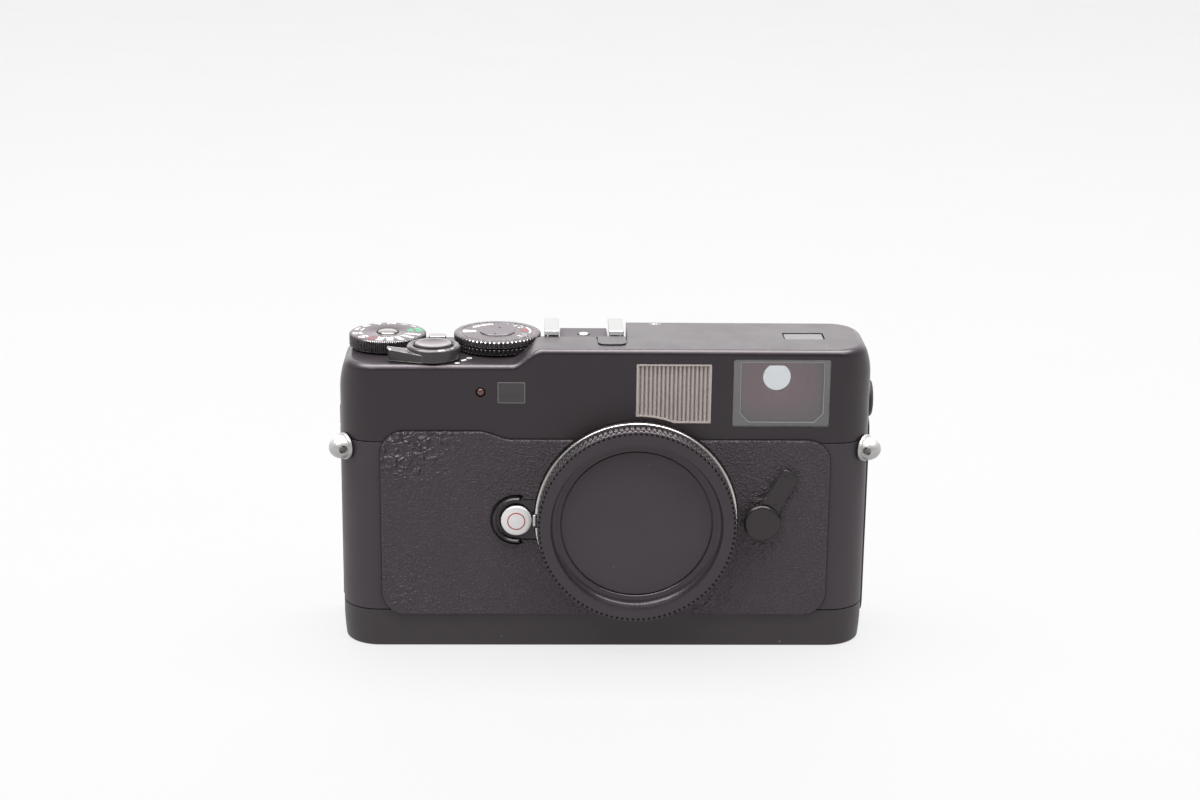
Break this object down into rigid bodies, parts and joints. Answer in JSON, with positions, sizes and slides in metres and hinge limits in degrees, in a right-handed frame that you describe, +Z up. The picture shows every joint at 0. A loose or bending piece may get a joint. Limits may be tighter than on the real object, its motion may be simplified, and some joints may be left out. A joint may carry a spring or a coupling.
{
  "type": "rangefinder camera",
  "caption": "Black rangefinder film camera body with a stepped top cover, dials, accessory shoe, finder windows, leather front, hinged back and a knurled body cap on its bayonet mount.",
  "frame": {"origin": "on the base, under the middle of the body shell in width and depth", "axes": "X to the right as seen from the front, Y from the front to the back, Z up"},
  "size_m": [0.139, 0.0398, 0.0796],
  "materials": {
    "black_paint": "satin black paint",
    "black_metal": "black anodised, fine satin",
    "black_plastic": "moulded black plastic, matte",
    "leatherette": "black grained covering",
    "nickel": "bright nickel plate",
    "cast_alloy": "die-cast, bead blasted",
    "clear_glass": "polished, coated",
    "frosted": "frosted and ribbed",
    "lamp_red": "clear red lens",
    "board_green": "lacquered circuit board",
    "cell_grey": "plated can",
    "mirror": "front-silvered"
  },
  "bodies": {
    "camera_body": {"access_plate": "black_paint", "accessory_shoe": "nickel", "battery_cell_1": "cell_grey", "battery_cell_2": "cell_grey", "bottom_cover": "black_paint", "counter_window": "clear_glass", "eyepiece_lens": "clear_glass", "eyepiece_ring": "black_plastic", "finder_block": "black_metal", "finder_window": "clear_glass", "front_casing": "black_paint", "hinge_ear_lower": "black_metal", "hinge_ear_upper": "black_metal", "hinge_pin": "nickel", "illuminator_window": "frosted", "index_block": "nickel", "leather_front": "leatherette", "main_board": "board_green", "main_frame": "cast_alloy", "mount_block": "black_metal", "mount_ring": "nickel", "rangefinder_window": "clear_glass", "release_guard": "black_metal", "shoe_contact": "nickel", "shoe_contact_plate": "black_plastic", "shutter_frame": "black_metal", "status_lamp": "lamp_red", "strap_lug_left": "nickel", "strap_lug_right": "nickel", "sync_socket": "black_plastic", "top_cover": "black_paint", "tripod_socket": "nickel"},
    "back_door": {"back_door": "black_paint", "film_window": "clear_glass", "leather_back": "leatherette", "pressure_plate": "black_metal", "pressure_spring": "nickel"},
    "door_latch": {"door_latch": "black_metal"},
    "shutter_dial": {"shutter_dial": "black_metal"},
    "dial_lock_button": {"dial_lock_button": "black_metal"},
    "compensation_dial": {"compensation_dial": "black_metal"},
    "film_speed_ring": {"film_speed_ring": "black_metal"},
    "shutter_button": {"shutter_button": "black_metal"},
    "switch_collar": {"switch_collar": "black_metal"},
    "lens_release": {"lens_release_button": "nickel", "mount_lock_tab": "nickel"},
    "frame_lever": {"frame_lever_arm": "black_metal", "frame_lever_cap": "black_metal"},
    "body_cap": {"body_cap": "black_plastic"},
    "battery_cap": {"battery_cap": "black_metal"},
    "rewind_button": {"rewind_button": "black_metal"},
    "take_up_spool": {"take_up_spool": "black_plastic"},
    "rewind_fork": {"rewind_fork": "nickel"},
    "shutter_blade_1": {"shutter_blade_1": "black_metal"},
    "shutter_blade_2": {"shutter_blade_2": "black_metal"},
    "shutter_blade_3": {"shutter_blade_3": "black_metal"},
    "shutter_blade_4": {"shutter_blade_4": "black_metal"},
    "rangefinder_arm": {"rangefinder_arm": "nickel"},
    "rangefinder_mirror": {"rangefinder_mirror": "mirror"}
  },
  "joints": [
    {"name": "door_hinge", "type": "hinge", "parent": "camera_body", "child": "back_door", "pos_m": [-0.06689, 0.0123, 0.0303], "axis": [0, 0, 1], "range_deg": [0, 150]},
    {"name": "latch_slide", "type": "slide", "parent": "back_door", "child": "door_latch", "axis": [0, 0, -1], "range_m": [0, 0.005], "stiffness_N_per_m": 150},
    {"name": "dial_turn", "type": "hinge", "parent": "camera_body", "child": "shutter_dial", "pos_m": [-0.05535, 0.0047, 0.076], "axis": [0, 0, 1], "continuous": true},
    {"name": "dial_lock_press", "type": "slide", "parent": "shutter_dial", "child": "dial_lock_button", "axis": [0, 0, -1], "range_m": [0, 0.0008], "stiffness_N_per_m": 400},
    {"name": "compensation_turn", "type": "hinge", "parent": "camera_body", "child": "compensation_dial", "pos_m": [-0.02745, 0.0041, 0.077], "axis": [0, 0, 1], "range_deg": [-60, 60]},
    {"name": "film_speed_turn", "type": "hinge", "parent": "camera_body", "child": "film_speed_ring", "pos_m": [-0.02745, 0.0041, 0.0755], "axis": [0, 0, 1], "range_deg": [-150, 150]},
    {"name": "shutter_press", "type": "slide", "parent": "camera_body", "child": "shutter_button", "axis": [0, 0, -1], "range_m": [0, 0.001], "stiffness_N_per_m": 800},
    {"name": "switch_turn", "type": "hinge", "parent": "camera_body", "child": "switch_collar", "pos_m": [-0.04325, -0.007, 0.076], "axis": [0, 0, 1], "range_deg": [0, 50]},
    {"name": "lens_release_press", "type": "slide", "parent": "camera_body", "child": "lens_release", "axis": [0, 1, 0], "range_m": [0, 0.0012], "stiffness_N_per_m": 1200},
    {"name": "frame_lever_turn", "type": "hinge", "parent": "camera_body", "child": "frame_lever", "pos_m": [0.0394, -0.0156, 0.0344], "axis": [0, 1, 0], "range_deg": [-20, 20], "stiffness_Nm_per_rad": 0.02},
    {"name": "cap_slide", "type": "slide", "parent": "camera_body", "child": "body_cap", "axis": [0, -1, 0], "range_m": [0, 0.025]},
    {"name": "battery_cap_turn", "type": "hinge", "parent": "camera_body", "child": "battery_cap", "pos_m": [-0.055, -0.002, 0.0008], "axis": [0, 0, 1], "range_deg": [0, 60]},
    {"name": "rewind_press", "type": "slide", "parent": "camera_body", "child": "rewind_button", "axis": [0, 0, 1], "range_m": [0, 0.001], "stiffness_N_per_m": 600},
    {"name": "take_up_turn", "type": "hinge", "parent": "camera_body", "child": "take_up_spool", "pos_m": [-0.0295, -0.00055, 0.0314], "axis": [0, 0, 1], "continuous": true},
    {"name": "rewind_fork_turn", "type": "hinge", "parent": "camera_body", "child": "rewind_fork", "pos_m": [0.045, 0.00035, 0.012], "axis": [0, 0, 1], "continuous": true},
    {"name": "blade_1_drop", "type": "slide", "parent": "camera_body", "child": "shutter_blade_1", "axis": [0, 0, -1], "range_m": [0, 0.0254]},
    {"name": "blade_2_drop", "type": "slide", "parent": "camera_body", "child": "shutter_blade_2", "axis": [0, 0, -1], "range_m": [0, 0.0194]},
    {"name": "blade_3_drop", "type": "slide", "parent": "camera_body", "child": "shutter_blade_3", "axis": [0, 0, -1], "range_m": [0, 0.0134]},
    {"name": "blade_4_drop", "type": "slide", "parent": "camera_body", "child": "shutter_blade_4", "axis": [0, 0, -1], "range_m": [0, 0.0074]},
    {"name": "rangefinder_arm_swing", "type": "hinge", "parent": "camera_body", "child": "rangefinder_arm", "pos_m": [0.00775, -0.0105, 0.058], "axis": [1, 0, 0], "range_deg": [0, 10], "stiffness_Nm_per_rad": 0.005},
    {"name": "rangefinder_mirror_turn", "type": "hinge", "parent": "camera_body", "child": "rangefinder_mirror", "pos_m": [-0.02365, -0.0087, 0.0646], "axis": [0, 0, 1], "range_deg": [0, 2]}
  ],
  "couplings": [
    {"joint": "blade_2_drop", "follows": "blade_1_drop", "ratio": 0.7637},
    {"joint": "blade_3_drop", "follows": "blade_1_drop", "ratio": 0.5275},
    {"joint": "blade_4_drop", "follows": "blade_1_drop", "ratio": 0.2913},
    {"joint": "rangefinder_mirror_turn", "follows": "rangefinder_arm_swing", "ratio": 0.2}
  ]
}
